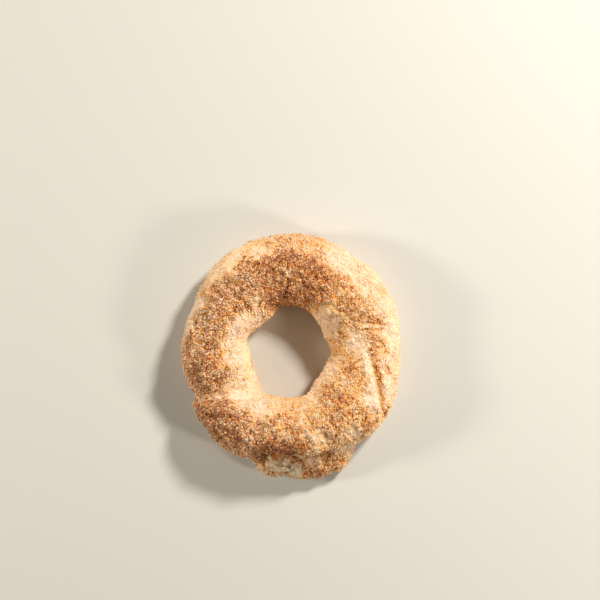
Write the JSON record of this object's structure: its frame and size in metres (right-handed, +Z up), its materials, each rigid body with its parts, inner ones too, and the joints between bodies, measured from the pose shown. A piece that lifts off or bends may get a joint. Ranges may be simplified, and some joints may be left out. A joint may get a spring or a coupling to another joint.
{
  "type": "ring cookie",
  "caption": "Sugared ring cookie of one bent dough rope whose blunt end laps over its thin tail, browned on top and flat underneath.",
  "frame": {"origin": "middle of the bounding box, on the tray side: z = 0 is the flat underside", "axes": "+Z up through the browned top; +Y away from the lapped joint, which is at the front (-Y); +X to the right as seen from above"},
  "size_m": [0.0762, 0.0852, 0.0203],
  "materials": {
    "baked_crust": "matte"
  },
  "bodies": {
    "root": {"ring_cookie": "baked_crust"}
  },
  "joints": []
}
